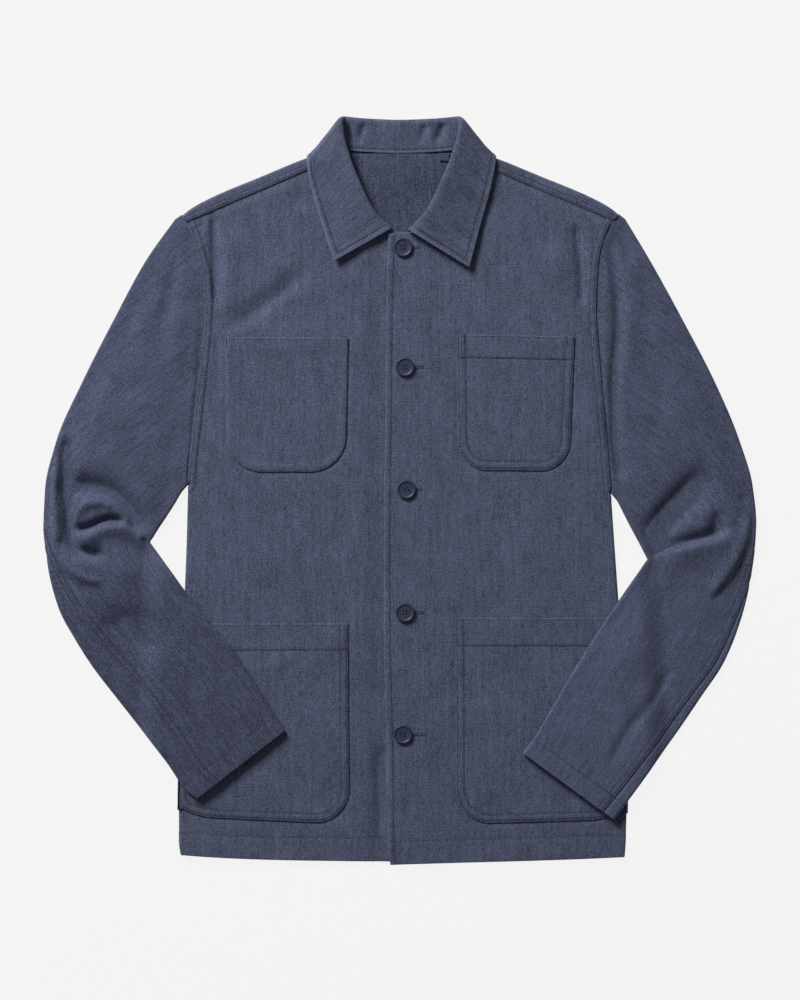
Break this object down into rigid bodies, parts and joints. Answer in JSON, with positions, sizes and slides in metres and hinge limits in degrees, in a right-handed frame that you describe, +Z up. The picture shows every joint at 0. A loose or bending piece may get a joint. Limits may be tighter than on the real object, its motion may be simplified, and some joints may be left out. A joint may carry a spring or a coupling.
{
  "type": "button-front work overshirt laid flat",
  "caption": "Overshirt laid flat and buttoned: fold collar, patch pockets on chest and skirt, forearms folded in over the fronts.",
  "frame": {"origin": "middle of the garment's footprint, on the surface that it lies on", "axes": "+X to the wearer's left, +Y from hem to collar, +Z up out of the surface"},
  "size_m": [0.7406, 0.7772, 0.0163],
  "materials": {
    "cloth": "matte slate-blue slubby twill",
    "button": "satin navy plastic",
    "tab": "matte woven tape"
  },
  "bodies": {
    "root": {"back": "cloth", "front_left": "cloth", "front_right": "cloth", "top_sleeve_left": "cloth", "top_sleeve_right": "cloth", "under_sleeve_left": "cloth", "under_sleeve_right": "cloth", "collar": "cloth", "chest_pocket_left": "cloth", "chest_pocket_right": "cloth", "lower_pocket_left": "cloth", "lower_pocket_right": "cloth", "button_1": "button", "button_2": "button", "button_3": "button", "button_4": "button", "button_5": "button", "label_tab": "tab"}
  },
  "joints": []
}
